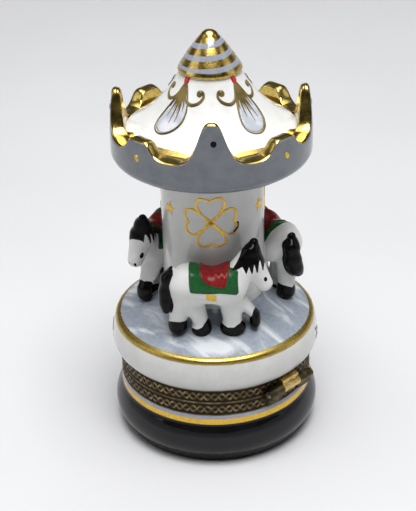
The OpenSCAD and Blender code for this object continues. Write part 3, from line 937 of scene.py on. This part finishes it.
def build_column_painting():
    """A clover above each horse and a star between each two."""
    gold, brown, black = Heap(), Heap(), Heap()
    for number in range(3):
        side = 120 * number
        centre = (side - 2.4, 58.6)
        for k, turn in enumerate((2, 92, 181, 271)):
            stroke(gold, column_at, clover_path(turn, 1.05, centre, 1.7 * k + side), 0.14, wave=0.16)
        for dx, dz in ((1, 1), (1, -1), (-1, 1), (-1, -1)):
            mid, far = around(centre, COLUMN_R, 1.1 * dx, dz), around(centre, COLUMN_R, 2.3 * dx, 2.2 * dz)
            stroke(brown, column_at, [(*centre, 0.55), (*mid, 0.5), (*far, 0.4)], 0.14)
        at = side + 24.5
        touch = [(at + 3.0, 58.2, 0.5), (at + 2.7, 56.9, 0.65), (at - 1.8, 55.8, 0.45)]
        stroke(black, column_at, touch, 0.17)
        star = (side + (60.5, 61, 65.5)[number], 60.1)
        patch(gold, column_at, star_edge(star, 2.15, -12 + 9 * number, COLUMN_R), star, 0.13, rings=3)
    gold.piece("column_gilding", gold_paint)
    brown.piece("column_clover_veins", brown_gold)
    black.piece("column_black_touch", black_enamel)


def build_roof_painting():
    """Feathers that hang from red knots, and curls that run from them towards the crown's tall points."""
    gold, fill, red, ball = Heap(), Heap(), Heap(), Heap()
    feather = [(0, 89.7), (-6.5, 87.2), (-12, 84.4), (-14, 82.2), (-11, 80.7), (-2, 80.1), (7.5, 80.8),
               (14.5, 82.5), (15.5, 84.9), (9.5, 87.7)]
    plumes = [(-9, 84.6, 0.6), (-5.5, 83.0, 0.75), (-2, 84.2, 0.6), (1, 82.0, 0.8), (4, 83.9, 0.6),
              (7, 82.4, 0.75), (10.5, 84.4, 0.6)]
    curl = [(5, 88.6, 0.4), (7, 87.4, 0.7), (12, 86.3, 0.9), (20, 85.8, 1.0), (29, 86.3, 0.9),
            (34.5, 87.3, 0.75), (33.5, 88.3, 0.6), (29.5, 88.5, 0.55)]
    for middle in range(0, 360, 90):
        knot = middle - 45
        edge = flow([(knot + a, z) for a, z in feather], 6, closed=True)
        patch(fill, roof_at, edge, (knot + 1, 83.6), 0.10)
        line = [(a, z, 0.50 + 0.16 * sin(0.21 * i)) for i, (a, z) in enumerate(edge + edge[:2])]
        stroke(gold, roof_at, line[::3] + [line[-1]], 0.17)
        for lean, low, thick in plumes:
            stroke(gold, roof_at, [(knot + 0.1 * lean, 89.6, 0.4), (knot + 0.5 * lean, 87.2, thick),
                                   (knot + 0.85 * lean, (87.2 + low) / 2, 0.8 * thick),
                                   (knot + lean, low, 0.1)], 0.18)
        dot(red, roof_at, (knot, 90.1), 0.78, 1.0, 8.0, 0.36, 5, 18, 0.1)
        for mirror in (-1, 1):
            knot = middle + 45 * mirror
            stroke(gold, roof_at, [(knot - a * mirror, z, w) for a, z, w in curl], 0.18)
            dot(ball, roof_at, (knot - 28.5 * mirror, 88.0), 0.72, 0.68, 8.2, 0.24)
    gold.piece("roof_gilding", roof_gold)
    ball.piece("roof_curl_ends", roof_gold)
    fill.piece("roof_feathers", feather_enamel)
    red.piece("roof_red_knots", red_enamel)


def build_canopy_painting():
    """A black dot on each tall point of the crown and a gold one under each low bump."""
    gold, black = Heap(), Heap()
    for az in range(0, 360, 90):
        dot(black, canopy_at, (az + 1, 82.5), 0.72, 0.76, CANOPY_R, 0.12)
        dot(gold, canopy_at, (az + 45, 76.8), 0.62, 0.9, CANOPY_R, 0.12, n=14, turn=0.5)
    gold.piece("canopy_gold_dots", gold_paint, "blue_grey_porcelain")
    black.piece("canopy_black_dots", black_enamel, "blue_grey_porcelain")


def build_leaf_sprigs():
    green = Heap()
    leaves = [(-4.4, 24.9, 26.6, 1.3), (3.2, 24.0, 25.5, 1.2), (-3.4, 22.9, 24.2, 1.1),
              (2.6, 22.2, 23.4, 0.9)]
    for az in (-88, 80):
        for lean, z0, z1, w in leaves:
            leaf = [(az, z0 - 0.3, 0.15), (az + 0.3 * lean, (2 * z0 + z1) / 3, w),
                    (az + 0.7 * lean, (z0 + 2 * z1) / 3, 0.75 * w), (az + lean, z1, 0.12)]
            stroke(green, stage_at, leaf, 0.12)
        stroke(green, stage_at, [(az + 0.8, 21.9, 0.2), (az, 23.4, 0.26), (az - 0.4, 25.2, 0.14)], 0.1)
    green.piece("stage_leaf_sprigs", green_enamel)


# ---- brass mounts
BRAID_WAVES = 43


def braid_height(turns, v):
    """Raised height from 0 to 1 of the stamped two-strand braid; v runs from -1 to 1 across it."""
    best = 0.0
    reach = 0.60
    for phase, shift in ((0.0, 0.0), (0.5, pi)):
        u = turns + phase
        slope = reach * TAU * cos(TAU * u) * 0.42
        d = abs(v - reach * sin(TAU * u)) / sqrt(1 + slope * slope * 0.16)
        strand = max(0.0, 1 - (d / 0.30) ** 2) ** 0.5
        groove = 0.42 * max(0.0, 1 - (d / 0.085) ** 2)
        over = 0.5 + 0.5 * sin(TAU * (2 * turns) + shift)
        best = max(best, (strand - groove) * (0.62 + 0.38 * over))
    return best


def build_bezel(name, body, z0, z1, flange_r, joint_on_top, replaced):
    """A bezel ring with plain rims, a stamped braid and a flat flange turned inwards at the joint."""
    seg = BRAID_WAVES * 22
    rows = 30
    rim, depth, sheet = 0.14, 0.26, 0.3
    outer, back, wall = BEZEL_R - 0.02, BEZEL_R - 0.5, BEZEL_R - BEZEL_T
    if joint_on_top:
        inside = [(back, z1), (flange_r, z1), (flange_r, z1 - sheet), (wall, z1 - sheet), (wall, z0)]
    else:
        inside = [(wall, z1), (wall, z0 + sheet), (flange_r, z0 + sheet), (flange_r, z0), (back, z0)]
    verts, relief = [], []
    for i in range(seg):
        az = TAU * i / seg
        col = []
        for t in [k / rows for k in range(rows + 1)]:
            edge = min(t, 1 - t)
            if edge < rim * 0.55:
                h = 0.85 * sin(pi * min(1.0, (edge + 0.02) / (rim * 0.55)) / 1.15)
            elif edge < rim:
                h = 0.12
            else:
                h = braid_height(az / TAU * BRAID_WAVES, (t - 0.5) * 2 / (1 - 2 * rim))
            col.append((outer - depth + depth * h, z0 + (z1 - z0) * t))
            relief.append(h)
        verts += swing(col + inside, az)
        relief += [0.5] * len(inside)
    mesh_piece(name, body, verts, ring_faces(seg, len(verts) // seg), old_brass,
               (replaced,), {"relief": relief})


def build_bezels():
    build_bezel("lower_bezel_braid", "base", LOW_Z, JOINT_Z - 0.03, BAY_R + 0.1, True, "lower_bezel")
    build_bezel("upper_bezel_braid", "lid", JOINT_Z + 0.03, HIGH_Z, FLANGE_IN, False, "upper_bezel")


def finish_cad_parts():
    """Gives the carried-over CAD nodes their materials."""
    for name, material in {"hinge_knuckle_left": dark_brass, "hinge_knuckle_right": dark_brass,
                           "hinge_knuckle_centre": bright_brass, "hinge_pin": steel_wire,
                           "locating_lip": plain_brass, "clasp_stud": bright_brass, "clasp_plate": dark_brass,
                           "clasp_tongue": plain_brass, "lower_cement": cement,
                           "upper_cement": cement}.items():
        materials = bpy.data.objects[name].data.materials
        materials.clear()
        materials.append(material)


# ---- floor, light and camera
WALL_LIGHT, ROOM_DARK, SKY_LIGHT = 0.07, 0.015, 2.75


def build_floor():
    """A wide flat disc whose rim curves up far away on every side."""
    mat, tree, bsdf = new_material("pale_floor")
    tone = ramp(tree, noise_tex(tree, 7.0, 3.0), 0.3, 0.7)
    pale = mix_color(tree, tone, (0.54, 0.54, 0.55), (0.57, 0.57, 0.575))
    reach = node(tree, "VectorMath", operation="LENGTH")
    tree.links.new(node(tree, "TexCoord").outputs["Object"], reach.inputs[0])
    # darker from 0.12 m out: painted shade where the light falls off; the far rise is lighter again
    middle = mix_color(tree, ramp(tree, reach.outputs["Value"], 0.12, 0.6), pale, (0.47, 0.47, 0.475))
    outer = mix_color(tree, ramp(tree, reach.outputs["Value"], 0.75, 1.35), middle, (0.76, 0.76, 0.765))
    dress(tree, bsdf, {"Base Color": outer, "Roughness": 0.75, "Specular IOR Level": 0.2})
    flat_r, rise = 1250, 450
    profile = [(0, 0), (60, 0), (400, 0)] + arc(flat_r, rise, rise, rise, -90, 0, 12)
    verts, faces = lathe(profile, 96, close=False)
    new_object("studio_floor", verts, [f[::-1] for f in faces], mat)


def build_sky():
    """Dim walls that are dark high up on the camera's side, and a bright patch straight above."""
    bpy.context.scene.view_settings.view_transform = "Standard"
    world = bpy.data.worlds.new("studio_world")
    bpy.context.scene.world = world
    world.use_nodes = True
    sky = world.node_tree
    split = node(sky, "SeparateXYZ")
    sky.links.new(node(sky, "TexCoord").outputs["Generated"], split.inputs[0])
    near = calc(sky, "ADD", split.outputs[0], split.outputs[1])
    shade = calc(sky, "MULTIPLY", ramp(sky, split.outputs[2], 0.06, 0.38), ramp(sky, near, -0.6, 0.5))
    glow = mix_value(sky, shade, WALL_LIGHT, ROOM_DARK)
    glow = calc(sky, "ADD", glow, ramp(sky, split.outputs[2], 0.78, 0.97, 0.0, SKY_LIGHT))
    sky.nodes["Background"].inputs[0].default_value = (0.97, 0.98, 1.0, 1)
    sky.links.new(glow, sky.nodes["Background"].inputs[1])


def softbox(name, azimuth, elevation, distance, width, height, power, color=(1, 1, 1)):
    """An area light aimed at the box, placed by azimuth from the clover's side, elevation and distance."""
    light = bpy.data.lights.new(name, "AREA")
    light.shape = "RECTANGLE"
    light.size, light.size_y = width, height
    light.energy = power
    light.color = color
    obj = linked(name, light)
    a, e = radians(FRONT + azimuth), radians(elevation)
    direction = Vector((cos(a) * cos(e), sin(a) * cos(e), sin(e)))
    obj.location = direction * distance
    obj.rotation_euler = (Vector((0, 0, 0.05)) - obj.location).to_track_quat("-Z", "Y").to_euler()


def build_lights():
    softbox("window_left", -78, 32, 0.9, 0.5, 0.5, 0.9, (1.0, 0.99, 0.97))
    softbox("window_right", 85, 30, 0.9, 0.4, 0.5, 0.5, (0.97, 0.98, 1.0))
    softbox("top_panel", 15, 76, 0.8, 0.45, 0.45, 6.4)


def build_camera():
    """The photo's view, from the clover's side and looking down at 29 degrees."""
    cam = bpy.data.cameras.new("photo_camera")
    cam.sensor_width = 36.0
    cam.sensor_fit = "AUTO"
    cam.lens = 91.58513
    cam.clip_start = 0.01
    obj = linked("photo_camera", cam)
    turn = Matrix.Rotation(radians(FRONT + 90), 4, "Z")
    eye = turn @ Vector((0, -270.466, 193.631))
    target = turn @ Vector((-1.366, 0, 43.65))
    forward = (target - eye).normalized()
    right = forward.cross(Vector((0, 0, 1))).normalized()
    up = right.cross(forward)
    roll = -0.022
    r = right * cos(roll) + up * sin(roll)
    u = -right * sin(roll) + up * cos(roll)
    facing = Matrix((r, u, -forward)).transposed().to_4x4()
    obj.matrix_world = Matrix.Translation(eye * MM) @ facing
    bpy.context.scene.camera = obj


build_base()
build_stage()
build_column()
build_canopy()
build_roof()
build_horses()
build_column_painting()
build_roof_painting()
build_canopy_painting()
build_leaf_sprigs()
build_bezels()
finish_cad_parts()
build_floor()
build_sky()
build_lights()
build_camera()
bpy.context.view_layer.update()
